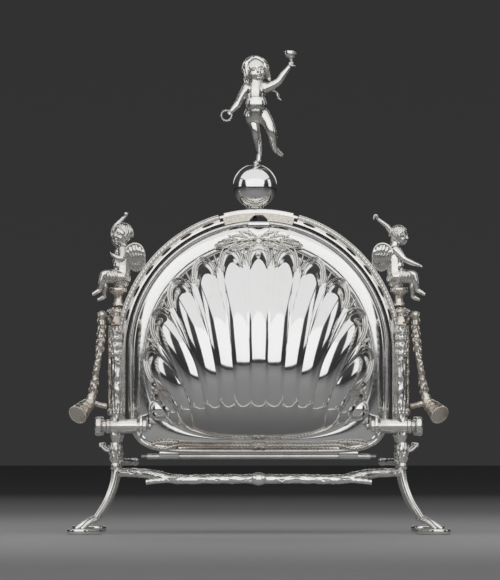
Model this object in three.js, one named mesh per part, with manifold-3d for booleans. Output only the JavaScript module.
import * as THREE from 'three';
import { mergeVertices } from 'three/addons/utils/BufferGeometryUtils.js';
import Module from 'manifold-3d';

const wasm = await Module();
wasm.setup();

// A folding biscuit box: two fluted scallop halves that swing down out of a central arch.
// Millimetres, X to the right, the front towards minus Y, Z up, the feet stand on Z zero.

// Fits
const seatGap = 0.3; // between pieces that are soldered, screwed or resting on each other
const turnGap = 0.3; // around a pin that turns
const restGap = 0.5; // between an open half and the stretcher that it rests on
const overrun = 4; // how far a cut runs past the face it opens

// Rim of a half: an arch on a squared foot
const rimHalfWidth = 105;
const rimCentreZ = 146;
const rimBottomZ = 64.2;
const rimCornerPower = 7;
const rimPlaneY = 15; // inner face of each rim, from the centre plane
const rimSheet = 1.6;
const rimBeadHeight = 3.6;
const rimBeadWidth = 3.4;
const rimBeadSlope = 1.1;
const rimBandHeight = 1.9; // front of the band beside the bead
const rimLipHeight = 4; // front of the band under the bowl

// Bowl of a half: a scallop that fans out from its bottom edge
const bowlSideInset = 13; // from the edge of the rim
const bowlDrop = 3; // from the middle of the rim's arch down to the middle of the bowl's
const bowlFootInset = 10.8; // from the rim's bottom edge
const bowlHalfWidth = rimHalfWidth - bowlSideInset;
const bowlCentreZ = rimCentreZ - bowlDrop;
const bowlBottomZ = rimBottomZ + bowlFootInset;
const bowlCornerPower = 3;
const bowlWall = 1.4;
const bowlDepth = 56.4; // between the ribs, over the edge that is soldered to the rim
const bowlEdgePower = 0.75;
const bowlLowShare = 0.12; // how much the deepest place lies towards the bottom
const bowlLipInset = 2.8; // how far the rim's lip reaches in under the bowl's wall
const fluteCount = 13;
const fluteRise = 4.4;
const fluteStep = THREE.MathUtils.degToRad(8.8);
const fluteSpread = THREE.MathUtils.degToRad(0.0843);
const fluteSampleShares = [-0.3, 0, 0.3, 0.5];
const fanTailShares = [0.2, 0.4];
const bowlSteps = 5;

// Arch over the halves: a strip, an open height and a thicker band outside
const archStandOff = 2; // from the edge of the rims
const archInnerRadius = rimHalfWidth + archStandOff;
const archStripThickness = 1.8;
const archStripHalfWidth = 12.5;
const archOpenHeight = 2.6;
const archBandInnerRadius = archInnerRadius + archStripThickness + archOpenHeight;
const archBandThickness = 4;
const archOuterRadius = archBandInnerRadius + archBandThickness;
const archBandHalfWidth = 6;
const archWebHalfWidth = 1.6;
const archFootZ = 92;
const archBandEnd = THREE.MathUtils.degToRad(16.5);
const archStripEnd = THREE.MathUtils.degToRad(15.1);
const archHoleCount = 7;
const archHoleHalfHeight = 0.9;
const archHoleHalfLength = 5.4;
const bridgeEnd = THREE.MathUtils.degToRad(16.2);
const housingEnd = THREE.MathUtils.degToRad(14.9);
const housingStandOff = 0.6; // from the edge of the rims
const housingInnerRadius = rimHalfWidth + housingStandOff;
const notchRadius = 8.5;
const notchDepth = 5;

// Pivots of the halves
const pivotRise = 21.8; // over the rim's bottom edge
const pivotZ = rimBottomZ + pivotRise;
const pivotReach = 24; // from the rim's inner face out to the pivot
const pivotY = rimPlaneY + pivotReach;
const axleRadius = 3;
const rosetteRadius = 5;
const rosetteLength = 6;
const earInset = 11.8;
const earX = rimHalfWidth - earInset; // inner face of the ear that carries the axle
const axleInnerX = earX - 1.2 * rosetteLength;
const earThickness = 2;
const earRadius = 8.5;
const knobRadius = 7.7;
const knobNeckRadius = 4.6;
const knobBeadLength = 2.6;
const knobLength = 12.5;
const knobCapDepth = 5.6;

// Uprights
const uprightRadius = 4.6;
const uprightInset = 1.2; // its middle lies this far within the arch's outer radius
const uprightX = archOuterRadius - uprightInset;
const uprightOuterX = uprightX + uprightRadius;
const knobOuterX = uprightOuterX + seatGap + knobLength;
const axleOuterX = knobOuterX - knobCapDepth;
const uprightTopRadius = 4;
const uprightTipRadius = 3;
const uprightTopZ = 166;
const uprightTailLength = 13; // below the pivot
const uprightBottomZ = pivotZ - uprightTailLength;
const uprightTipLength = 6;
const sleeveRadius = 5.6;
const sleeveSideGap = 2.1; // from the ear
const sleeveInnerX = earX + earThickness + sleeveSideGap;
const barkHeight = 24;
const barkRise = 0.7;
const barkWaves = 18;

// Legs and feet
const legTopRadius = 3.3;
const legFootRadius = 2.5;
const legOffset = 0.8; // outwards from the upright's middle
const legTopX = uprightX + legOffset;
const legKneeZ = 46;
const legSplay = 15.5;
const legReach = 20;
const legFootX = legTopX + legSplay;
const legFootY = pivotY + legReach;
const legFootZ = 11.6;
const legBeadRadius = 4.3;
const legBeadShare = 0.1;
const legBeadHalfShare = 0.09;
const sprigRadius = 1.3;
const sprigReach = 13;
const sprigRise = 4.5;
const padLength = 24;
const padWidth = 17;
const padThickness = 4.6;
const padTurn = THREE.MathUtils.degToRad(36);
const padRidgeRadius = 3;
const padRidgeTurn = THREE.MathUtils.degToRad(15);

// Stretchers
const stretcherRadius = 3.1;
const stretcherEndZ = 48.6;
const stretcherReach = 31; // in front of the pivots
const stretcherY = pivotY + stretcherReach;
const stretcherBendX = 69;
const stretcherKnotRadius = 4.6;
const stretcherKnotStretch = 1.6;
const twigRadius = 2;
const twigEndX = 90;
const sideStretcherRadius = 2.6;
const sideStretcherZ = 57.3;
const sideStretcherBow = 15.5;
const sideStretcherInnerX = legTopX - sideStretcherBow;

// Catch
const tabHalfWidth = 9;
const tabHeight = 5;
const tabReach = 2.4;
const tongueHalfWidth = 5;
const tongueDrop = 4.4; // under the top of the rims
const tongueZ = rimCentreZ + rimHalfWidth - tongueDrop;
const tongueThickness = 1.8;
const tongueInnerY = 8;
const springThickness = 0.8;
const springHalfWidth = 4;
const springHalfLength = 11;

// Branch work at the sides
const crownRadius = 4;
const crownRise = 11; // over the tops of the uprights
const crownZ = uprightTopZ + crownRise;
const crownMassRadius = 6.2;
const crownMassDrop = 4.5;
const crownMassZ = crownZ - crownMassDrop;
const crownUnderDrop = 9.5;
const crownUnderZ = crownZ - crownUnderDrop;
const crownHalfWidth = 8.3;
const crownOuterX = uprightX + crownHalfWidth;
const crownSeatRise = 6;
const crownSeatZ = crownZ + crownSeatRise;
const lowYokeRadius = 3;
const lowYokeRise = 12; // over the pivots
const lowYokeZ = pivotZ + lowYokeRise;
const postRadius = 3.1;
const postWaveShare = 0.06;
const postX = archOuterRadius + seatGap + postRadius;
const yokeX = postX + 0.2 * postRadius;
const handleRadius = 3;
const handleKnobRadius = 3.9;
const handleTopReach = 4.1; // outwards from the crown's face
const handleTopX = crownOuterX + handleTopReach;
const handleTopDrop = 1.4;
const handleTopZ = crownZ - handleTopDrop;
const handleLowReach = 13.5;
const handleLowX = crownOuterX + handleLowReach;
const handleLowRise = 8;
const handleLowZ = lowYokeZ + handleLowRise;
const logReach = 10; // outwards from the handle's foot
const logX = handleLowX + logReach;
const logY = 11;
const logDrop = 11;
const logZ = handleLowZ - logDrop;
const logRadius = 8.2;
const logStartShare = 0.72;
const linkRadius = 2.2;
const knotRadius = 3.9;

// Seats and seated figures
const seatInset = 0.7; // inwards from the uprights
const seatX = uprightX - seatInset;
const seatHeight = 15;
const seatZ = crownSeatZ + seatHeight;
const seatRadius = 7;
const seatNeckRadius = 3.8;
const seatPadThickness = 3.4;
const cherubHeight = 50;

// Finial
const finialX = -3;
const ballRadius = 18;
const ballCollarRadius = 7.2;
const ballCollarHeight = 3;
const ballFlatDepth = 1.2;
const studRadius = 2;
const studCollarRadius = 3.4;
const nutRadius = 4.2;
const nutHeight = 3;
const puttoHeight = 88;

// Grilles inside the halves
const grilleInset = 9;
const grilleThickness = 1.2;
const hingeDrop = 2.5; // under the rim's bottom edge
const hingeZ = rimBottomZ - hingeDrop;
const hingeBarrelRadius = 2.2;
const hingeRodRadius = 1.2;
const rimKnuckleInset = 15; // from the edge of the rim
const rimKnuckleLength = 26;
const rimKnuckleOuterX = rimHalfWidth - rimKnuckleInset;
const rimKnuckleWebX = rimKnuckleOuterX - 0.4 * rimKnuckleLength;
const grilleBarrelHalfLength = rimKnuckleOuterX - rimKnuckleLength;
const hingeRodOverhang = 4.5;
const hingeRodHalfLength = rimKnuckleOuterX + hingeRodOverhang;
const grilleFan = THREE.MathUtils.degToRad(62);
const grilleRowShares = [0.4, 0.64, 0.86];
const grilleRowCounts = [3, 5, 7];
const grilleHoleLengthShare = 0.072; // half a hole's length, of its ray's
const grilleHoleWidthShare = 0.032;
const pullDrop = 25; // under the top of the rim
const pullZ = rimCentreZ + rimHalfWidth - pullDrop;
const pullRadius = 3;
const pullReach = 6;

// Applied ornament on each half
const ropeRadius = 1.3;
const ropeRise = 6.4; // over the rim's bottom edge
const ropeZ = rimBottomZ + ropeRise;
const ropeKnotStretch = 2.4;
const ropeEndInset = 16; // from the sides of the bowl
const ropeHalfLength = bowlHalfWidth - ropeEndInset;
const ropeLoopLength = 11;
const ropeLoopHalfHeight = 2.6;
const cartoucheHalfWidth = 36;
const cartoucheHalfHeight = 9.6;
const cartoucheDrop = 14.6; // under the top of the rim
const cartoucheZ = rimCentreZ + rimHalfWidth - cartoucheDrop;
const cartoucheThickness = 1.6;
const cartoucheLeafCount = 9;
const cartoucheLeafShare = 0.09;

// Facets
const sidesFine = 30;
const sidesRound = 12;
const sidesPin = 7;
const sidesKnot = 6;
const sidesTube = 5;
const sidesRidge = 4;
const uprightSteps = 9;
const legSteps = 9;
const stretcherSteps = 16;
const crownSteps = 10;
const ropeSteps = 22;
const archSteps = 9;
const sliver = 0.04; // detail smaller than this is left out of the joined bodies
const ballArcs = 7;

const bowlOutline = {
  halfWidth: bowlHalfWidth, centreZ: bowlCentreZ, bottomZ: bowlBottomZ, power: bowlCornerPower,
};
const rimOutline = {
  halfWidth: rimHalfWidth, centreZ: rimCentreZ, bottomZ: rimBottomZ, power: rimCornerPower,
};

// Closed bodies from three.js geometry
function solidOf(geometry) {
  const bare = geometry.clone();
  bare.deleteAttribute('normal');
  bare.deleteAttribute('uv');
  const merged = mergeVertices(bare);
  const corners = merged.index.array;
  const kept = [];
  for (let i = 0; i < corners.length; i += 3) {
    const [a, b, c] = [corners[i], corners[i + 1], corners[i + 2]];
    if (a !== b && b !== c && c !== a) kept.push(a, b, c);
  }
  const places = new Float32Array(merged.attributes.position.array);
  if (signedVolume(places, kept) < 0) kept.reverse();
  return new wasm.Manifold(new wasm.Mesh({
    numProp: 3, vertProperties: places, triVerts: new Uint32Array(kept),
  }));
}

function signedVolume(places, corners) {
  const [a, b, c] = [new THREE.Vector3(), new THREE.Vector3(), new THREE.Vector3()];
  let sum = 0;
  for (let i = 0; i < corners.length; i += 3) {
    a.fromArray(places, 3 * corners[i]);
    b.fromArray(places, 3 * corners[i + 1]);
    c.fromArray(places, 3 * corners[i + 2]);
    sum += a.dot(b.cross(c));
  }
  return sum;
}

function geometryOf(solid) {
  const mesh = solid.getMesh();
  const geometry = new THREE.BufferGeometry();
  geometry.setAttribute('position', new THREE.BufferAttribute(mesh.vertProperties, 3));
  geometry.setIndex(new THREE.BufferAttribute(mesh.triVerts, 1));
  geometry.computeVertexNormals();
  return geometry;
}

function join(...solids) {
  return solids.reduce((whole, solid) => whole.add(solid));
}

function cut(solid, ...tools) {
  return tools.reduce((whole, tool) => whole.subtract(tool), solid);
}

function inOrder(one, other) {
  return one < other ? [one, other] : [other, one];
}

// A copy seen in the mirror of the plane X = 0
function mirrored(solid) {
  return solidOf(geometryOf(solid).applyMatrix4(new THREE.Matrix4().makeScale(-1, 1, 1)));
}

// A copy turned half way round the vertical axis, from the front to the back
function turnedRound(solid) {
  return solidOf(geometryOf(solid).rotateZ(Math.PI));
}

// A closed body through rings with the same number of points, capped, or joined end to start
function loft(rings, endless = false) {
  const count = rings[0].length;
  const places = [];
  const corners = [];
  for (const ring of rings) for (const point of ring) places.push(point.x, point.y, point.z);
  const stretches = endless ? rings.length : rings.length - 1;
  for (let i = 0; i < stretches; i += 1) {
    const here = i * count;
    const next = ((i + 1) % rings.length) * count;
    for (let k = 0; k < count; k += 1) {
      const after = (k + 1) % count;
      corners.push(here + k, next + k, next + after, here + k, next + after, here + after);
    }
  }
  if (!endless) {
    const ends = [[rings[0], 0, true], [rings.at(-1), count * (rings.length - 1), false]];
    for (const [ring, start, flip] of ends) {
      const middle = ring.reduce((sum, point) => sum.add(point), new THREE.Vector3()).divideScalar(count);
      const hub = places.length / 3;
      places.push(middle.x, middle.y, middle.z);
      for (let k = 0; k < count; k += 1) {
        const after = (k + 1) % count;
        if (flip) corners.push(hub, start + k, start + after);
        else corners.push(hub, start + after, start + k);
      }
    }
  }
  return bodyFrom(places, corners);
}

function bodyFrom(places, corners) {
  const geometry = new THREE.BufferGeometry();
  geometry.setAttribute('position', new THREE.Float32BufferAttribute(places, 3));
  geometry.setIndex(corners);
  return solidOf(geometry);
}

// A round tube along a smooth line, its radius a function of the share of the way
function branch(points, radiusAt, sides = sidesTube, steps = 12) {
  const line = new THREE.CatmullRomCurve3(points.map((point) => new THREE.Vector3(...point)));
  const frames = line.computeFrenetFrames(steps, false);
  const rings = [];
  for (let i = 0; i <= steps; i += 1) {
    const way = i / steps;
    const centre = line.getPointAt(way);
    const radius = typeof radiusAt === 'function' ? radiusAt(way) : radiusAt;
    const ring = [];
    for (let k = 0; k < sides; k += 1) {
      const angle = (2 * Math.PI * k) / sides;
      ring.push(centre.clone()
        .addScaledVector(frames.normals[i], radius * Math.cos(angle))
        .addScaledVector(frames.binormals[i], radius * Math.sin(angle)));
    }
    rings.push(ring);
  }
  return loft(rings);
}

// A tapered limb with round ends
function limb(from, fromRadius, to, toRadius, sides = sidesTube) {
  const a = new THREE.Vector3(...from);
  const b = new THREE.Vector3(...to);
  const length = a.distanceTo(b);
  const slant = Math.PI / 3;
  const profile = [
    [0, -fromRadius], [fromRadius * Math.sin(slant), -fromRadius * Math.cos(slant)],
    [toRadius * Math.sin(slant), length + toRadius * Math.cos(slant)], [0, length + toRadius],
  ];
  const geometry = new THREE.LatheGeometry(profile.map(([r, h]) => new THREE.Vector2(r, h)), sides);
  const way = b.clone().sub(a).normalize();
  geometry.applyQuaternion(new THREE.Quaternion().setFromUnitVectors(new THREE.Vector3(0, 1, 0), way));
  return solidOf(geometry.translate(a.x, a.y, a.z));
}

function ball(centre, radius, stretch = [1, 1, 1]) {
  const geometry = new THREE.SphereGeometry(radius, sidesKnot, Math.round(sidesKnot * 0.7));
  return solidOf(geometry.scale(...stretch).translate(...centre));
}

// A turned piece about the upright axis through a place, its profile as radius and height
function turned(profile, centre, sides = sidesRound) {
  const points = profile.map(([radius, height]) => new THREE.Vector2(radius, height));
  return solidOf(new THREE.LatheGeometry(points, sides).rotateX(Math.PI / 2).translate(...centre));
}

// The same about an axis along X, its profile as radius and X
function turnedAcross(profile, centreY, centreZ, sides = sidesRound) {
  const points = profile.map(([radius, x]) => new THREE.Vector2(radius, x));
  const geometry = new THREE.LatheGeometry(points, sides).rotateZ(-Math.PI / 2);
  return solidOf(geometry.translate(0, centreY, centreZ));
}

function block(low, high) {
  const [a, b] = [new THREE.Vector3(...low), new THREE.Vector3(...high)];
  const size = b.clone().sub(a);
  const middle = a.clone().add(b).divideScalar(2);
  return solidOf(new THREE.BoxGeometry(size.x, size.y, size.z).translate(middle.x, middle.y, middle.z));
}

// A bar along Y, round in the view from the front
function barAlongY(x, z, radius, fromY, toY, sides = sidesRound) {
  const geometry = new THREE.CylinderGeometry(radius, radius, toY - fromY, sides);
  return solidOf(geometry.translate(x, (fromY + toY) / 2, z));
}

// An outline in the view from the front, given as X and Z, made into a plate
function plateFromFront(shape, frontY, thickness) {
  const geometry = new THREE.ExtrudeGeometry(shape, { depth: thickness, bevelEnabled: false });
  return solidOf(geometry.rotateX(Math.PI / 2).translate(0, frontY + thickness, 0));
}

// Where an arched outline lies, seen from its centre under an angle, drawn in by an inset
function outlinePoint(outline, inset, angle) {
  const halfWidth = outline.halfWidth - inset;
  const depth = outline.centreZ - outline.bottomZ - inset;
  let reach = halfWidth;
  if (Math.sin(angle) < 0) {
    const across = Math.abs(Math.cos(angle)) / halfWidth;
    const down = -Math.sin(angle) / depth;
    reach = (across ** outline.power + down ** outline.power) ** (-1 / outline.power);
  }
  return { x: reach * Math.cos(angle), z: outline.centreZ + reach * Math.sin(angle) };
}

// How far out a place lies in an arched outline: zero at its centre, one on it
function outlineShare(outline, inset, x, z) {
  const halfWidth = outline.halfWidth - inset;
  const rise = z - outline.centreZ;
  if (rise >= 0) return Math.hypot(x, rise) / halfWidth;
  const across = Math.abs(x) / halfWidth;
  const down = -rise / (outline.centreZ - outline.bottomZ - inset);
  return (across ** outline.power + down ** outline.power) ** (1 / outline.power);
}

// Bowl: the smooth scallop form
function bowlHeight(x, z, inset) {
  const share = Math.min(outlineShare(bowlOutline, inset, x, z), 1);
  const lean = 1 + bowlLowShare * (bowlOutline.centreZ - z) / bowlOutline.halfWidth;
  return (bowlDepth - inset) * (1 - share ** 2) ** bowlEdgePower * lean;
}

function fanAngle(lane) {
  return fluteStep * lane + fluteSpread * lane ** 3;
}

// How far a ray from the middle of an outline's bottom edge runs, turned away from upright
function rayLength(outline, inset, angle) {
  const startZ = outline.bottomZ + inset;
  let [near, far] = [0, 2 * outline.halfWidth];
  for (let i = 0; i < 40; i += 1) {
    const middle = (near + far) / 2;
    const share = outlineShare(outline, inset, middle * Math.sin(angle), startZ + middle * Math.cos(angle));
    if (share < 1) near = middle;
    else far = middle;
  }
  return near;
}

// Round ribs that meet in sharp grooves
function fluteProfile(lane) {
  const off = Math.abs(lane - Math.round(lane));
  return Math.sqrt(1 - (2 * off) ** 2);
}

function bowlLanes() {
  const last = (fluteCount - 1) / 2;
  const lanes = [-last - 0.5];
  for (let k = -last; k <= last; k += 1) for (const share of fluteSampleShares) lanes.push(k + share);
  for (const share of fanTailShares) {
    lanes.push(last + 0.5 + share);
    lanes.unshift(-last - 0.5 - share);
  }
  return lanes;
}

// One skin of the bowl as a grid of points, lane by lane from the bottom edge to the outline
function bowlSkin(inset) {
  const edge = fluteCount / 2;
  return bowlLanes().map((lane) => {
    const angle = fanAngle(lane);
    const length = rayLength(bowlOutline, inset, angle);
    const beyond = Math.max(Math.abs(lane) - edge, 0) / fanTailShares.at(-1);
    const fade = Math.sqrt(Math.max(1 - beyond ** 2, 0));
    const points = [];
    for (let j = 0; j <= bowlSteps; j += 1) {
      const way = (1 - Math.cos((Math.PI * j) / bowlSteps)) / 2;
      const x = way * length * Math.sin(angle);
      const z = bowlBottomZ + inset + way * length * Math.cos(angle);
      const height = j === 0 || j === bowlSteps ? 0 : bowlHeight(x, z, inset) * fade;
      const rise = fade * fluteRise * fluteProfile(lane) * way * (1 - way ** 10);
      const slope = Math.min(bowlHalfWidth * 0.01, (bowlHalfWidth * (1 - way) * way) / 8);
      const normal = new THREE.Vector3(0, 1, 0);
      if (slope > 0) {
        normal.x = (bowlHeight(x - slope, z, inset) - bowlHeight(x + slope, z, inset)) / (2 * slope);
        normal.z = (bowlHeight(x, z - slope, inset) - bowlHeight(x, z + slope, inset)) / (2 * slope);
      }
      normal.normalize().multiplyScalar(rise);
      points.push(new THREE.Vector3(x + normal.x, height + normal.y, z + normal.z));
    }
    return points;
  });
}

const bowlBaseY = rimPlaneY + rimLipHeight + seatGap;

function bowlFurthest() {
  return Math.max(...bowlSkin(0).flat().map((point) => point.y));
}

function bowlBody() {
  const skins = [bowlSkin(0), bowlSkin(bowlWall)];
  const lanes = skins[0].length;
  const row = bowlSteps + 1;
  const places = [];
  const corners = [];
  for (const skin of skins) {
    for (const lane of skin) for (const point of lane) places.push(point.x, -bowlBaseY - point.y, point.z);
  }
  const at = (skin, i, j) => (skin * lanes + i) * row + j;
  const quad = (a, b, c, d) => corners.push(a, b, c, a, c, d);
  for (let i = 0; i < lanes - 1; i += 1) {
    for (let j = 0; j < bowlSteps; j += 1) {
      quad(at(0, i, j), at(0, i + 1, j), at(0, i + 1, j + 1), at(0, i, j + 1));
      quad(at(1, i, j), at(1, i, j + 1), at(1, i + 1, j + 1), at(1, i + 1, j));
    }
    quad(at(0, i, bowlSteps), at(0, i + 1, bowlSteps), at(1, i + 1, bowlSteps), at(1, i, bowlSteps));
  }
  for (let j = 0; j < bowlSteps; j += 1) {
    quad(at(0, 0, j), at(0, 0, j + 1), at(1, 0, j + 1), at(1, 0, j));
    quad(at(0, lanes - 1, j + 1), at(0, lanes - 1, j), at(1, lanes - 1, j), at(1, lanes - 1, j + 1));
  }
  return bodyFrom(places, corners);
}

// Everything between the bowl's outer skin, or one further out by a reach, and its base plane
function bowlMass(reach) {
  const skin = bowlSkin(-reach);
  const last = skin.length - 1;
  const row = bowlSteps + 1;
  const places = [];
  const corners = [];
  for (const lane of skin) for (const point of lane) places.push(point.x, -bowlBaseY - point.y, point.z);
  for (let i = 0; i < last; i += 1) {
    for (let j = 0; j < bowlSteps; j += 1) {
      const [a, b, c, d] = [i * row + j, (i + 1) * row + j, (i + 1) * row + j + 1, i * row + j + 1];
      corners.push(a, b, c, a, c, d);
    }
  }
  const edge = [];
  for (let j = 0; j <= bowlSteps; j += 1) edge.push(j);
  for (let i = 1; i <= last; i += 1) edge.push(i * row + bowlSteps);
  for (let j = bowlSteps - 1; j > 0; j -= 1) edge.push(last * row + j);
  const hub = places.length / 3;
  places.push(0, -bowlBaseY, bowlCentreZ);
  edge.forEach((corner, k) => corners.push(hub, corner, edge[(k + 1) % edge.length]));
  return bodyFrom(places, corners);
}

// Rim: a ring of sheet with a rolled edge, its tab and tongue at the top, ears at the pivots
function rimBody() {
  const slopeInset = rimBeadWidth + rimBeadSlope;
  const section = [
    [rimOutline, 0, 0], [rimOutline, 0, rimBeadHeight], [rimOutline, rimBeadWidth, rimBeadHeight],
    [rimOutline, slopeInset, rimBandHeight], [bowlOutline, bowlLipInset, rimLipHeight],
    [bowlOutline, bowlLipInset, rimLipHeight - rimSheet],
  ];
  const rings = section.map(([outline, inset, height]) => {
    const ring = [];
    for (let k = 0; k < sidesFine; k += 1) {
      const point = outlinePoint(outline, inset, (2 * Math.PI * k) / sidesFine);
      ring.push(new THREE.Vector3(point.x, -rimPlaneY - height, point.z));
    }
    return ring;
  });
  const topZ = rimCentreZ + rimHalfWidth;
  const tab = block(
    [-tabHalfWidth, -rimPlaneY - rimBeadHeight - tabReach, topZ - tabHeight],
    [tabHalfWidth, -rimPlaneY - rimSheet / 2, topZ - rimSheet / 2],
  );
  const tongue = block(
    [-tongueHalfWidth, -rimPlaneY - rimBandHeight / 2, tongueZ],
    [tongueHalfWidth, -tongueInnerY, tongueZ + tongueThickness],
  );
  const knuckles = [-1, 1].map((side) => {
    const inner = side * (grilleBarrelHalfLength + turnGap);
    const [a, b] = inOrder(inner, side * rimKnuckleOuterX);
    const [webA, webB] = inOrder(inner, side * rimKnuckleWebX);
    return join(
      turnedAcross(
        [[0, a], [hingeBarrelRadius, a], [hingeBarrelRadius, b], [0, b]], -hingeY, hingeZ, sidesTube,
      ),
      block([webA, -rimPlaneY - rimSheet, hingeZ], [webB, -rimPlaneY, rimBottomZ + rimSheet]),
    );
  });
  const ears = [-1, 1].map((side) => {
    const [a, b] = inOrder(side * earX, side * (earX + earThickness));
    return join(
      turnedAcross([[0, a], [earRadius, a], [earRadius, b], [0, b]], -pivotY, pivotZ, sidesPin),
      block([a, -pivotY, pivotZ - earRadius], [b, -rimPlaneY - rimSheet, pivotZ + earRadius]),
    );
  });
  const bores = join(
    acrossRod(-pivotY, pivotZ, axleRadius + turnGap, earX + earThickness + overrun, sidesPin),
    acrossRod(-hingeY, hingeZ, hingeRodRadius + turnGap, hingeRodHalfLength + overrun, sidesTube),
  );
  return cut(join(loft(rings, true), tab, tongue, ...knuckles, ...ears), bores);
}

// The corner radius of a faceted bore whose flats lie this far out, so that a pin turns in it
function flatsRadius(reach, sides) {
  return reach / Math.cos(Math.PI / sides);
}

// A plain rod along X, as long on both sides
function acrossRod(y, z, radius, halfLength, sides = sidesRound) {
  return turnedAcross(
    [[0, -halfLength], [radius, -halfLength], [radius, halfLength], [0, halfLength]],
    y, z, sides,
  );
}

// Grille: a pierced plate behind the rim, hung on a rod along the rim's bottom edge
const grilleOuterY = rimPlaneY - seatGap;
const hingeY = grilleOuterY - grilleThickness / 2;

function grilleBody() {
  const edge = [];
  for (let k = 0; k < sidesFine; k += 1) {
    const point = outlinePoint(rimOutline, grilleInset, (2 * Math.PI * k) / sidesFine);
    edge.push(new THREE.Vector2(point.x, point.z));
  }
  const shape = new THREE.Shape(edge);
  grilleRowShares.forEach((share, row) => {
    const count = grilleRowCounts[row];
    for (let i = 0; i < count; i += 1) {
      const turn = ((i / (count - 1)) * 2 - 1) * grilleFan;
      shape.holes.push(leafHole(rayLength(rimOutline, grilleInset, turn), share, turn));
    }
  });
  const apron = hingeZ - hingeBarrelRadius / 2;
  const plate = join(
    plateFromFront(shape, -grilleOuterY, grilleThickness),
    block(
      [-grilleBarrelHalfLength, -grilleOuterY, apron],
      [grilleBarrelHalfLength, -grilleOuterY + grilleThickness, rimBottomZ + grilleInset + rimSheet],
    ),
    acrossRod(-hingeY, hingeZ, hingeBarrelRadius, grilleBarrelHalfLength, sidesTube),
  );
  const stemSpace = barAlongY(
    0, pullZ, studRadius + seatGap, -grilleOuterY - overrun, -grilleOuterY + overrun, sidesTube,
  );
  const rodSpace = acrossRod(
    -hingeY, hingeZ, hingeRodRadius + turnGap, grilleBarrelHalfLength + overrun, sidesTube,
  );
  return cut(plate, stemSpace, rodSpace);
}

function rodBody() {
  return acrossRod(-hingeY, hingeZ, hingeRodRadius, hingeRodHalfLength, sidesTube);
}

// A pointed hole that lies along a ray from the middle of the grille's bottom edge
function leafHole(ray, share, turn) {
  const path = new THREE.Path();
  const outlineShares = [[0, 1], [0.75, 0.45], [0.75, -0.45], [0, -1], [-0.75, -0.45], [-0.75, 0.45]];
  outlineShares.forEach(([acrossShare, alongShare], i) => {
    const along = ray * (share + alongShare * grilleHoleLengthShare);
    const across = ray * acrossShare * grilleHoleWidthShare;
    const x = along * Math.sin(turn) + across * Math.cos(turn);
    const z = rimBottomZ + along * Math.cos(turn) - across * Math.sin(turn);
    if (i === 0) path.moveTo(x, z);
    else path.lineTo(x, z);
  });
  path.closePath();
  return path;
}

function pullBody() {
  const inner = -grilleOuterY + grilleThickness;
  const profile = [
    [0, -grilleOuterY], [studRadius, -grilleOuterY], [studRadius, inner + pullReach / 3],
    [pullRadius, inner + pullReach / 2], [studRadius, inner + pullReach], [0, inner + pullReach],
  ];
  const points = profile.map(([radius, y]) => new THREE.Vector2(radius, y));
  return solidOf(new THREE.LatheGeometry(points, sidesTube).translate(0, 0, pullZ));
}

// Axle of a half with its rosette head, and the knob on its outer end
function axleBody() {
  const headX = earX - seatGap;
  return turnedAcross([
    [0, axleInnerX], [rosetteRadius / 2, axleInnerX], [rosetteRadius, headX - rosetteLength / 2],
    [rosetteRadius, headX], [axleRadius, headX], [axleRadius, axleOuterX], [0, axleOuterX],
  ], -pivotY, pivotZ, sidesPin);
}

function knobBody() {
  const start = uprightOuterX + seatGap;
  const first = start + knobBeadLength;
  const second = knobOuterX - 2 * knobBeadLength;
  const bore = axleRadius + seatGap;
  return turnedAcross([
    [bore, start], [sleeveRadius, start], [sleeveRadius, first], [knobNeckRadius, first],
    [knobRadius, second], [knobRadius, knobOuterX - knobBeadLength / 2],
    [knobNeckRadius, knobOuterX], [0, knobOuterX], [0, axleOuterX + seatGap], [bore, axleOuterX + seatGap],
    [bore, start],
  ], -pivotY, pivotZ, sidesPin);
}

// Upright: a bar with bark at its top and a cross sleeve for the axle
function uprightBody() {
  const height = uprightTopZ - uprightBottomZ;
  const radiusAt = (way) => {
    const above = way * height;
    if (above < uprightTipLength) {
      return uprightTipRadius + (uprightRadius - uprightTipRadius) * (above / uprightTipLength);
    }
    const bark = above > height - barkHeight ? barkRise * Math.cos(barkWaves * Math.PI * way) : 0;
    return uprightRadius + (uprightTopRadius - uprightRadius) * way + bark;
  };
  const points = [];
  for (const share of [0, 0.4, 1]) points.push([uprightX, -pivotY, uprightBottomZ + share * height]);
  const bar = branch(points, radiusAt, sidesTube, uprightSteps);
  const sleeve = turnedAcross([
    [0, sleeveInnerX], [sleeveRadius, sleeveInnerX], [sleeveRadius, uprightOuterX], [0, uprightOuterX],
  ], -pivotY, pivotZ, sidesPin);
  const boreRadius = flatsRadius(axleRadius + turnGap, sidesPin);
  const bore = acrossRod(-pivotY, pivotZ, boreRadius, uprightOuterX + overrun, sidesPin);
  return cut(join(bar, sleeve), bore);
}

// Leg: straight down from the upright, then out to a foot with two ridges
function legPoints() {
  const top = uprightBottomZ - seatGap;
  return [
    [legTopX, -pivotY, top], [legTopX, -pivotY, (top + legKneeZ) / 2],
    [legTopX + 0.02 * legSplay, -pivotY - 0.05 * legReach, legKneeZ],
    [legTopX + 0.35 * legSplay, -pivotY - 0.35 * legReach, (legKneeZ + legFootZ) / 2],
    [legFootX, -legFootY, legFootZ],
  ];
}

function legTube() {
  const taper = legFootRadius - legTopRadius;
  const radiusAt = (way) => {
    const bead = Math.max(1 - (Math.abs(way - legBeadShare) / legBeadHalfShare) ** 2, 0);
    return legTopRadius + taper * way + (legBeadRadius - legTopRadius) * bead;
  };
  return branch(legPoints(), radiusAt, sidesTube, legSteps);
}

// The room that the straight part of a leg takes, for what meets it from the side
function legSpace(sideX, sideY) {
  const [low, high] = [legKneeZ - 2 * stretcherRadius, uprightBottomZ];
  const radius = legTopRadius + 2 * seatGap;
  return turned(
    [[0, low], [radius, low], [radius, high], [0, high]], [sideX * legTopX, sideY * pivotY, 0],
  );
}

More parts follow.
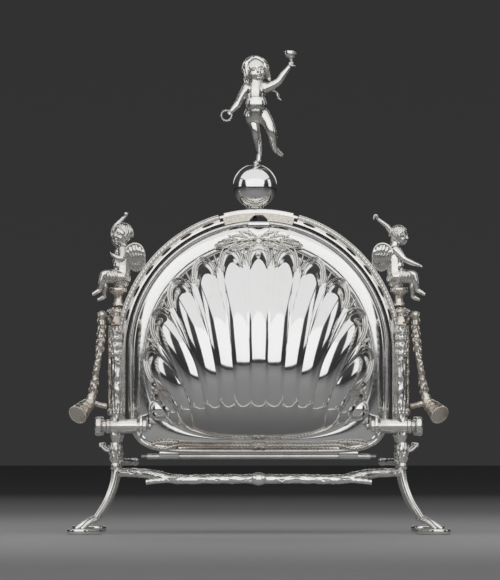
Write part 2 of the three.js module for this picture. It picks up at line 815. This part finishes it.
function legBody() {
  const half = padWidth / 2;
  const nose = padLength - half;
  const pad = new THREE.Shape();
  pad.moveTo(-half / 3, -half / 2);
  pad.lineTo(nose, -half);
  pad.absarc(nose, 0, half, -Math.PI / 2, Math.PI / 2, false);
  pad.lineTo(-half / 3, half / 2);
  pad.closePath();
  const slab = new THREE.ExtrudeGeometry(pad, { depth: padThickness, bevelEnabled: false, curveSegments: 3 });
  slab.rotateZ(-padTurn).translate(legFootX, -legFootY, 0);
  const ridges = [-1, 1].map((side) => {
    const turn = -padTurn + side * padRidgeTurn;
    const end = [legFootX + nose * Math.cos(turn), -legFootY + nose * Math.sin(turn), padThickness];
    return limb([legFootX, -legFootY, legFootZ], padRidgeRadius, end, padRidgeRadius, sidesRidge);
  });
  const rootZ = uprightBottomZ - seatGap - sprigRadius;
  const sprig = branch([
    [legTopX, -pivotY, rootZ - sprigRise], [legTopX + sprigReach / 2, -pivotY, rootZ - sprigRise],
    [legTopX + sprigReach, -pivotY, rootZ],
  ], (way) => sprigRadius * (1 - way / 3), sidesRidge, 2);
  return join(legTube(), solidOf(slab), ...ridges, sprig);
}

// Stretchers between the legs: an open bowl comes to rest on the knot in the middle
const bowlDropZ = pivotZ + pivotReach - rimLipHeight - seatGap - bowlFurthest();
const stretcherZ = bowlDropZ - restGap - stretcherKnotRadius;

function stretcherBody() {
  const span = legTopX - stretcherBendX;
  const rise = stretcherEndZ - stretcherZ;
  const half = [
    [legTopX, -pivotY, stretcherEndZ],
    [stretcherBendX + 0.7 * span, -pivotY - 0.4 * stretcherReach, stretcherZ + rise],
    [stretcherBendX + 0.35 * span, -pivotY - 0.78 * stretcherReach, stretcherZ + 0.7 * rise],
    [stretcherBendX, -stretcherY, stretcherZ], [0.5 * stretcherBendX, -stretcherY, stretcherZ],
  ];
  const middle = [0, -stretcherY, stretcherZ];
  const points = [...half.map(([x, y, z]) => [-x, y, z]), middle, ...half.reverse()];
  const bar = branch(points, stretcherRadius, sidesTube, stretcherSteps);
  const knot = ball(middle, stretcherKnotRadius, [stretcherKnotStretch, 1, 1]);
  const twigs = [-1, 1].map((side) => limb(
    [side * stretcherBendX, -stretcherY, stretcherZ], twigRadius,
    [side * (twigEndX - twigRadius), -stretcherY, stretcherZ - twigRadius], twigRadius, sidesRidge,
  ));
  return cut(join(bar, knot, ...twigs), legSpace(1, -1), legSpace(-1, -1));
}

function sideStretcherBody() {
  const bowX = sideStretcherInnerX + 0.3 * (legTopX - sideStretcherInnerX);
  const half = [[legTopX, pivotY, sideStretcherZ], [bowX, pivotY / 2, sideStretcherZ]];
  const points = [
    ...half.map(([x, y, z]) => [x, -y, z]), [sideStretcherInnerX, 0, sideStretcherZ], ...half.reverse(),
  ];
  return cut(branch(points, sideStretcherRadius, sidesTube, 8), legSpace(1, -1), legSpace(1, 1));
}

// Arch band: a plain strip, a web with oval openings, and a thicker band outside
function archRing(angle, innerRadius, outerRadius, halfWidth) {
  const straight = angle > Math.PI / 2;
  return [[innerRadius, -1], [outerRadius, -1], [outerRadius, 1], [innerRadius, 1]].map(([radius, side]) => {
    if (straight) return new THREE.Vector3(radius, side * halfWidth, archFootZ);
    const along = Math.PI / 2 - angle;
    return new THREE.Vector3(
      radius * Math.cos(along), side * halfWidth, rimCentreZ + radius * Math.sin(along),
    );
  });
}

function archSweep(startAngle, innerRadius, outerRadius, halfWidth, steps) {
  const rings = [];
  for (let i = 0; i <= steps; i += 1) {
    const angle = startAngle + (Math.PI / 2 - startAngle) * (i / steps);
    rings.push(archRing(angle, innerRadius, outerRadius, halfWidth));
  }
  rings.push(archRing(Math.PI, innerRadius, outerRadius, halfWidth));
  return loft(rings);
}

function archBody() {
  const stripOuter = archInnerRadius + archStripThickness;
  const webInner = stripOuter - archStripThickness / 2;
  const webOuter = (archBandInnerRadius + archOuterRadius) / 2;
  const parts = [
    archSweep(archStripEnd, archInnerRadius, stripOuter, archStripHalfWidth, archSteps),
    archSweep(archBandEnd, webInner, webOuter, archWebHalfWidth, archSteps),
    archSweep(archBandEnd, archBandInnerRadius, archOuterRadius, archBandHalfWidth, archSteps),
  ];
  const middle = (stripOuter + archBandInnerRadius) / 2;
  const holes = [];
  for (let i = 0; i < archHoleCount; i += 1) {
    const angle = archBandEnd + ((Math.PI / 2 - archBandEnd) * (i + 0.5)) / archHoleCount;
    const hole = new THREE.CylinderGeometry(1, 1, 2 * archBandHalfWidth, sidesTube);
    hole.scale(archHoleHalfLength, 1, archHoleHalfHeight).rotateY(angle);
    holes.push(solidOf(hole.translate(middle * Math.sin(angle), 0, rimCentreZ + middle * Math.cos(angle))));
  }
  return cut(join(...parts), ...holes);
}

// Everything within the arch's outer edge, to fit what leans on it from outside
function archSpace() {
  const radius = archOuterRadius + seatGap;
  const far = 2 * archOuterRadius;
  return join(
    barAlongY(0, rimCentreZ, radius, -far, far, 1.5 * sidesFine),
    block([-radius, -far, 0], [radius, far, rimCentreZ]),
  );
}

// An arc of band over the middle, as wide to both sides
function topArc(innerRadius, outerRadius, halfWidth, endAngle, steps = 10) {
  const rings = [];
  for (let i = 0; i <= steps; i += 1) {
    const angle = endAngle * ((2 * i) / steps - 1);
    rings.push(archRing(angle, innerRadius, outerRadius, halfWidth));
  }
  return loft(rings);
}

function studBore(extra) {
  return turned([
    [0, tongueZ - 2 * nutHeight], [studRadius + extra, tongueZ - 2 * nutHeight],
    [studRadius + extra, ballBottomZ + ballRadius / 2 + extra], [0, ballBottomZ + ballRadius / 2 + extra],
  ], [finialX, 0, 0], sidesTube);
}

const ballBottomZ = rimCentreZ + archOuterRadius + seatGap;
const ballCentreZ = ballBottomZ + ballRadius;
const ballTopZ = ballCentreZ + ballRadius - ballFlatDepth;
const housingBottomZ = rimCentreZ + housingInnerRadius;
const springTopZ = tongueZ - seatGap;

function bridgeBody() {
  return cut(
    topArc(archBandInnerRadius, archOuterRadius, archBandHalfWidth, bridgeEnd), studBore(seatGap),
  );
}

function housingBody() {
  const arc = topArc(housingInnerRadius, archBandInnerRadius - seatGap, archStripHalfWidth, housingEnd);
  const notchZ = housingBottomZ - notchRadius / 3;
  const notches = [-1, 1].map((side) => {
    const [a, b] = inOrder(side * (archStripHalfWidth - notchDepth), side * (archStripHalfWidth + overrun));
    return barAlongY(0, notchZ, notchRadius, a, b, sidesRound * 0.75);
  });
  return cut(arc, studBore(seatGap), ...notches);
}

function springBody() {
  const leaf = block(
    [finialX - springHalfWidth, -springHalfLength, springTopZ - springThickness],
    [finialX + springHalfWidth, springHalfLength, springTopZ],
  );
  const curls = [-1, 1].map((side) => limb(
    [finialX - springHalfWidth, side * springHalfLength, springTopZ - springThickness], springThickness / 2,
    [finialX + springHalfWidth, side * springHalfLength, springTopZ - springThickness], springThickness / 2,
  ));
  return cut(join(leaf, ...curls), studBore(seatGap));
}

function studBody() {
  const low = springTopZ + seatGap;
  const high = housingBottomZ - seatGap;
  const end = ballBottomZ + ballRadius / 2;
  const start = springTopZ - springThickness - seatGap - nutHeight;
  return turned([
    [0, start], [studRadius, start], [studRadius, low], [studCollarRadius, low],
    [studCollarRadius, high], [studRadius, high], [studRadius, end], [0, end],
  ], [finialX, 0, 0], sidesTube);
}

function nutBody() {
  const top = springTopZ - springThickness - seatGap;
  const bore = studRadius + seatGap;
  return turned([
    [bore, top - nutHeight], [nutRadius, top - nutHeight], [nutRadius, top], [bore, top],
    [bore, top - nutHeight],
  ], [finialX, 0, 0], sidesTube);
}

function ballBody() {
  const profile = [];
  for (let i = 0; i <= ballArcs; i += 1) {
    const angle = -Math.PI / 2 + (Math.PI * i) / ballArcs;
    const radius = i % ballArcs === 0 ? 0 : ballRadius * Math.cos(angle);
    profile.push([radius, ballCentreZ + ballRadius * Math.sin(angle)]);
  }
  const collar = [
    [0, ballBottomZ], [ballCollarRadius, ballBottomZ], [ballCollarRadius, ballBottomZ + ballCollarHeight / 3],
    [ballCollarRadius * 0.8, ballBottomZ + ballCollarHeight], [0, ballBottomZ + ballCollarHeight],
  ];
  const centre = [finialX, 0, 0];
  const flat = block(
    [finialX - ballRadius, -ballRadius, ballTopZ], [finialX + ballRadius, ballRadius, ballTopZ + ballRadius],
  );
  return cut(join(turned(profile, centre), turned(collar, centre)), studBore(seatGap), flat);
}

// Branch work at one side, made for the right and mirrored for the left
function crownBody() {
  const low = uprightTopZ + seatGap;
  const half = [
    [uprightX, pivotY, low - crownRadius],
    [uprightX + 0.3 * crownRadius, 0.8 * pivotY, low + 0.75 * (crownZ - low)],
    [yokeX, 0.4 * pivotY, crownZ],
  ];
  const points = [
    ...half.map(([x, y, z]) => [x, -y, z]), [yokeX, 0, crownZ], ...half.reverse(),
  ];
  const radiusAt = (way) => crownRadius * (1 + 0.12 * Math.cos(10 * Math.PI * way));
  const knots = [
    ball([yokeX, 0, crownMassZ], crownMassRadius),
    ball([seatX, 0, crownSeatZ - crownRadius], crownMassRadius),
  ];
  const far = 2 * pivotY;
  const wide = 2 * crownMassRadius;
  const beyond = 2 * crownOuterX;
  const above = block([0, -wide, crownSeatZ], [beyond, wide, seatZ]);
  const under = block([0, -wide, 0], [beyond, wide, crownUnderZ]);
  const outside = block([crownOuterX, -crownMassRadius, 0], [beyond, crownMassRadius, seatZ]);
  const feet = block([0, -far, 0], [beyond, far, low]);
  const solid = join(branch(points, radiusAt, sidesTube, crownSteps), ...knots);
  return cut(solid, above, under, outside, feet, archSpace());
}

function lowYokePoints() {
  const half = [[uprightX, pivotY, lowYokeZ], [yokeX, 0.55 * pivotY, lowYokeZ - 0.3 * lowYokeRadius]];
  return [...half.map(([x, y, z]) => [x, -y, z]), [yokeX, 0, lowYokeZ], ...half.reverse()];
}

function lowYokeTube(extra) {
  return branch(lowYokePoints(), lowYokeRadius + extra, sidesTube, 8);
}

function lowYokeBody() {
  const bars = [-1, 1].map((side) => turned([
    [0, uprightBottomZ], [uprightRadius + seatGap, uprightBottomZ], [uprightRadius + seatGap, uprightTopZ],
    [0, uprightTopZ],
  ], [uprightX, side * pivotY, 0]));
  return cut(lowYokeTube(0), ...bars, archSpace());
}

function postBody() {
  const bottom = lowYokeZ - lowYokeRadius;
  const top = crownUnderZ - seatGap;
  const points = [[postX, 0, bottom], [postX, 0, (bottom + top) / 2], [postX, 0, top]];
  const radiusAt = (way) => postRadius * (1 - postWaveShare * (1 + Math.cos(8 * Math.PI * way)));
  const post = branch(points, radiusAt, sidesTube, 8);
  const below = block([0, -2 * lowYokeRadius, 0], [2 * postX, 2 * lowYokeRadius, lowYokeZ]);
  return cut(post, lowYokeTube(seatGap), below, archSpace());
}

function handleBody() {
  const drop = handleTopZ - handleLowZ;
  const points = [
    [handleTopX, 0, handleTopZ], [handleTopX + 0.2 * handleRadius, 0, handleTopZ - 0.25 * drop],
    [(handleTopX + handleLowX) / 2, 0, handleTopZ - 0.65 * drop], [handleLowX, 0, handleLowZ],
    [0.45 * handleLowX + 0.55 * logX, -0.4 * logY, 0.45 * handleLowZ + 0.55 * logZ], [logX, -logY, logZ],
  ];
  const radiusAt = (way) => {
    if (way < logStartShare) return handleRadius * (1 + 0.1 * Math.cos(14 * Math.PI * way));
    const share = (way - logStartShare) / (1 - logStartShare);
    return handleRadius + (logRadius - handleRadius) * share ** 0.8;
  };
  const low = [handleLowX, 0, handleLowZ];
  const link = limb(low, linkRadius, [yokeX, 0, lowYokeZ + lowYokeRadius], linkRadius);
  const inner = block(
    [0, -handleKnobRadius, crownUnderZ], [crownOuterX + seatGap, handleKnobRadius, seatZ],
  );
  const solid = join(
    branch(points, radiusAt, sidesTube, 14), ball(points[0], handleKnobRadius), link, ball(low, knotRadius),
  );
  const post = turned([
    [0, 0], [postRadius + seatGap, 0], [postRadius + seatGap, crownUnderZ], [0, crownUnderZ],
  ], [postX, 0, 0]);
  return cut(solid, inner, post, lowYokeTube(seatGap), block(
    [0, -handleKnobRadius, 0], [yokeX, handleKnobRadius, crownUnderZ],
  ));
}

function seatBody() {
  const low = crownSeatZ + seatGap;
  const padLow = seatZ - seatPadThickness;
  return turned([
    [0, low], [seatNeckRadius * 1.2, low], [seatNeckRadius * 0.8, (low + padLow) / 2],
    [seatNeckRadius, padLow], [seatRadius, padLow], [seatRadius * 1.05, (padLow + seatZ) / 2],
    [seatRadius, seatZ], [0, seatZ],
  ], [seatX, 0, 0], sidesPin);
}

// A bent limb through joints, each given as X, Y, Z and radius
function chain(joints, sides = sidesTube) {
  const centres = joints.map(([x, y, z]) => new THREE.Vector3(x, y, z));
  const radii = joints.map((joint) => joint[3]);
  const last = joints.length - 1;
  const ends = [[0, 1, 0], [last, last - 1, last]].map(([end, inner]) => centres[end].clone()
    .addScaledVector(centres[end].clone().sub(centres[inner]).normalize(), radii[end] * 0.6));
  const spine = [ends[0], ...centres, ends[1]];
  const widths = [radii[0] * 0.6, ...radii, radii[last] * 0.6];
  let side = new THREE.Vector3(0, 1, 0);
  const rings = spine.map((centre, i) => {
    const ahead = spine[Math.min(i + 1, spine.length - 1)].clone().sub(centre).normalize();
    const behind = centre.clone().sub(spine[Math.max(i - 1, 0)]).normalize();
    const way = ahead.add(behind).normalize();
    if (Math.abs(side.dot(way)) > 0.95) side = new THREE.Vector3(1, 0, 0);
    side = side.clone().addScaledVector(way, -side.dot(way)).normalize();
    const over = way.clone().cross(side);
    const ring = [];
    for (let k = 0; k < sides; k += 1) {
      const angle = (2 * Math.PI * k) / sides;
      ring.push(centre.clone().addScaledVector(side, widths[i] * Math.cos(angle))
        .addScaledVector(over, widths[i] * Math.sin(angle)));
    }
    return ring;
  });
  return loft(rings);
}

// Figures: chains and masses whose places and radii are shares of the figure's height
function figure(origin, height, chains, masses) {
  const place = (share) => share.map((value, axis) => origin[axis] + value * height);
  const bodies = chains.map((joints) => chain(
    joints.map((joint) => [...place(joint.slice(0, 3)), joint[3] * height]),
  ));
  for (const [centre, share, stretch] of masses) {
    bodies.push(ball(place(centre), share * height, stretch));
  }
  return join(...bodies);
}

// Seated figure: X outwards, Y to the back, Z up from the seat
const cherubTrunkShares = [
  [[-0.05, 0, 0.08, 0.12], [-0.07, 0, 0.2, 0.14], [-0.08, 0, 0.56, 0.125], [-0.07, 0, 0.76, 0.06]],
  [[-0.06, -0.09, 0.16, 0.095], [0.22, -0.1, 0.2, 0.07], [0.3, -0.1, -0.05, 0.04], [0.38, -0.11, -0.1, 0.03]],
  [[-0.06, 0.09, 0.16, 0.09], [0.2, 0.09, 0.12, 0.065], [0.23, 0.08, -0.15, 0.04], [0.3, 0.08, -0.19, 0.03]],
];
const cherubWingShares = [
  [[-0.28, -0.09, 0.48], 0.23, [0.7, 0.24, 1]], [[-0.28, 0.09, 0.48], 0.23, [0.7, 0.24, 1]],
];
const cherubArmShares = {
  left: [
    [[-0.07, 0.08, 0.62, 0.06], [0.04, 0.14, 0.8, 0.045], [-0.02, 0.12, 1.06, 0.033],
      [-0.12, 0.1, 1.16, 0.04]],
    [[-0.07, -0.08, 0.62, 0.06], [-0.04, -0.17, 0.45, 0.045], [0.06, -0.16, 0.49, 0.045]],
  ],
  right: [
    [[-0.08, 0.08, 0.62, 0.06], [-0.12, 0.12, 0.84, 0.045], [-0.23, 0.12, 1.04, 0.033],
      [-0.36, 0.1, 1.13, 0.04]],
    [[-0.06, -0.08, 0.6, 0.06], [0.08, -0.15, 0.46, 0.045], [0.34, -0.13, 0.34, 0.033]],
  ],
};
const cherubHeadShares = {
  left: [[[-0.08, -0.03, 0.85], 0.165, [1, 1, 1]]], right: [[[0.0, 0, 0.82], 0.15, [1, 1, 1.05]]],
};

function cherubBody(side) {
  const origin = [seatX, 0, seatZ + seatGap];
  const solid = figure(
    origin, cherubHeight, [...cherubTrunkShares, ...cherubArmShares[side]],
    [...cherubHeadShares[side], ...cherubWingShares],
  );
  const under = block(
    [seatX - 2 * seatRadius, -2 * seatRadius, crownSeatZ - seatPadThickness],
    [seatX + seatRadius * 1.05 + seatGap, 2 * seatRadius, seatZ + seatGap],
  );
  return cut(solid, under, archSpace());
}

// Standing figure: X to the right, Y to the back, Z up from the top of the ball
const puttoLimbShares = [
  [[0.012, -0.07, 0.01, 0.022], [0.034, 0, 0.02, 0.03], [0.02, 0, 0.2, 0.036], [0.006, -0.02, 0.28, 0.04],
    [-0.04, 0, 0.44, 0.062]],
  [[0.06, 0, 0.46, 0.06], [0.15, -0.03, 0.3, 0.04], [0.175, 0.06, 0.165, 0.022], [0.235, 0.1, 0.105, 0.022]],
  [[0.01, 0.005, 0.45, 0.08], [0.01, 0.005, 0.51, 0.09], [0.007, 0.005, 0.58, 0.078],
    [0.007, 0, 0.68, 0.09], [0.007, 0, 0.74, 0.05], [0.007, 0, 0.82, 0.04]],
  [[0.05, 0, 0.71, 0.045], [0.215, -0.01, 0.77, 0.03], [0.332, -0.02, 0.915, 0.028]],
  [[-0.06, 0, 0.71, 0.045], [-0.14, -0.01, 0.55, 0.03], [-0.215, -0.03, 0.485, 0.024]],
];
const puttoMassShares = [
  [[0.007, -0.004, 0.885], 0.105, [1, 0.95, 1]], [[0.007, 0.03, 0.91], 0.115, [1.12, 0.85, 0.9]],
  [[0.355, -0.02, 0.925], 0.045, [1, 1, 0.35]],
];
const gobletShares = [
  [[0.355, -0.02, 0.925, 0.018], [0.335, -0.02, 0.97, 0.018], [0.325, -0.02, 1, 0.05],
    [0.322, -0.02, 1.02, 0.052]],
];
const wreathShares = { centre: [-0.262, -0.03, 0.455], radius: 0.047, tube: 0.017 };

function puttoBody() {
  const origin = [finialX, 0, ballTopZ + seatGap];
  const solid = figure(origin, puttoHeight, [...puttoLimbShares, ...gobletShares], puttoMassShares);
  const wreath = new THREE.TorusGeometry(
    wreathShares.radius * puttoHeight, wreathShares.tube * puttoHeight, sidesTube, sidesRound * 0.75,
  ).rotateX(Math.PI / 2);
  wreath.translate(...wreathShares.centre.map((share, axis) => origin[axis] + share * puttoHeight));
  const under = block(
    [finialX - ballRadius, -ballRadius, ballCentreZ], [finialX + ballRadius, ballRadius, origin[2]],
  );
  return cut(join(solid, solidOf(wreath)), under);
}

// Leaf rope under the bowl, doubled back in a loop at each end
function ropeBody() {
  const y = -rimPlaneY - rimLipHeight - ropeRadius - seatGap;
  const loopEnd = ropeHalfLength + ropeLoopLength;
  const half = [
    [ropeHalfLength - ropeLoopLength, y, ropeZ + ropeLoopHalfHeight],
    [ropeHalfLength, y, ropeZ + ropeLoopHalfHeight], [loopEnd, y, ropeZ],
    [ropeHalfLength, y, ropeZ - ropeLoopHalfHeight], [ropeHalfLength - ropeLoopLength, y, ropeZ],
    [ropeHalfLength / 2, y, ropeZ],
  ];
  const points = [...half.map(([x, b, z]) => [-x, b, z]), [0, y, ropeZ], ...half.reverse()];
  const knot = ball([0, y, ropeZ], ropeRadius * 1.6, [ropeKnotStretch, 1, 1]);
  return join(branch(points, ropeRadius, sidesRidge, ropeSteps), knot);
}

// Foliate cartouche: a lobed oval that follows the rim's curve and laps over the top of the bowl
function cartoucheBody() {
  const points = [];
  const count = 2 * cartoucheLeafCount;
  for (let k = 0; k < count; k += 1) {
    const angle = (2 * Math.PI * k) / count;
    const lobe = 1 - cartoucheLeafShare * (1 - Math.cos(cartoucheLeafCount * angle));
    const x = cartoucheHalfWidth * lobe * Math.cos(angle);
    const fall = (x * x) / (2 * rimHalfWidth);
    points.push(new THREE.Vector2(x, cartoucheZ + cartoucheHalfHeight * lobe * Math.sin(angle) - fall));
  }
  const shape = new THREE.Shape(points);
  const flat = plateFromFront(shape, -bowlBaseY - cartoucheThickness, cartoucheThickness);
  const tall = plateFromFront(shape, -bowlBaseY - bowlDepth, bowlDepth);
  return cut(join(flat, tall.intersect(bowlMass(cartoucheThickness + seatGap))), bowlMass(seatGap));
}

// The whole object
const group = new THREE.Group();

const finishes = {
  bowlSilver: { color: 0xdcdad4, roughness: 0.14 },
  castSilver: { color: 0xd2cec4, roughness: 0.26 },
  oldSilver: { color: 0xc0b5a2, roughness: 0.34 },
  steel: { color: 0x9a9a98, roughness: 0.35 },
};

function addPiece(name, solid, finish) {
  const { color, roughness } = finishes[finish];
  const material = new THREE.MeshStandardMaterial({ color, roughness, metalness: 1 });
  const mesh = new THREE.Mesh(geometryOf(solid.simplify(sliver)), material);
  mesh.name = name;
  group.add(mesh);
}

// A piece of the front half and its twin on the rear half
function addFrontAndRear(name, solid, finish) {
  addPiece(`${name}_front`, solid, finish);
  addPiece(`${name}_rear`, turnedRound(solid), finish);
}

// A piece at the right and its mirror twin at the left
function addRightAndLeft(name, solid, finish) {
  addPiece(`${name}_right`, solid, finish);
  addPiece(`${name}_left`, mirrored(solid), finish);
}

// A piece at the front right corner and its twins at the other three
function addCorners(name, solid, finish) {
  const left = mirrored(solid);
  addPiece(`${name}_front_right`, solid, finish);
  addPiece(`${name}_front_left`, left, finish);
  addPiece(`${name}_rear_left`, turnedRound(solid), finish);
  addPiece(`${name}_rear_right`, turnedRound(left), finish);
}

addCorners('leg', legBody(), 'castSilver');
addCorners('upright', uprightBody(), 'castSilver');
addFrontAndRear('stretcher', stretcherBody(), 'castSilver');
addRightAndLeft('side_stretcher', sideStretcherBody(), 'castSilver');
addRightAndLeft('crown_yoke', crownBody(), 'oldSilver');
addRightAndLeft('low_yoke', lowYokeBody(), 'oldSilver');
addRightAndLeft('centre_post', postBody(), 'oldSilver');
addRightAndLeft('branch_handle', handleBody(), 'oldSilver');
addRightAndLeft('seat', seatBody(), 'oldSilver');
addPiece('cherub_right', cherubBody('right'), 'castSilver');
addPiece('cherub_left', mirrored(cherubBody('left')), 'castSilver');
addRightAndLeft('arch', archBody(), 'castSilver');
addPiece('arch_bridge', bridgeBody(), 'castSilver');
addPiece('catch_housing', housingBody(), 'castSilver');
addPiece('catch_spring', springBody(), 'steel');
addPiece('finial_stud', studBody(), 'steel');
addPiece('finial_nut', nutBody(), 'steel');
addPiece('finial_ball', ballBody(), 'bowlSilver');
addPiece('putto', puttoBody(), 'castSilver');
addFrontAndRear('shell', bowlBody(), 'bowlSilver');
addFrontAndRear('rim', rimBody(), 'bowlSilver');
addFrontAndRear('rope_border', ropeBody(), 'oldSilver');
addFrontAndRear('cartouche', cartoucheBody(), 'castSilver');
addFrontAndRear('grille', grilleBody(), 'castSilver');
addFrontAndRear('grille_rod', rodBody(), 'steel');
addFrontAndRear('grille_pull', pullBody(), 'castSilver');
addCorners('axle', axleBody(), 'castSilver');
addCorners('knob', knobBody(), 'castSilver');

export default group;
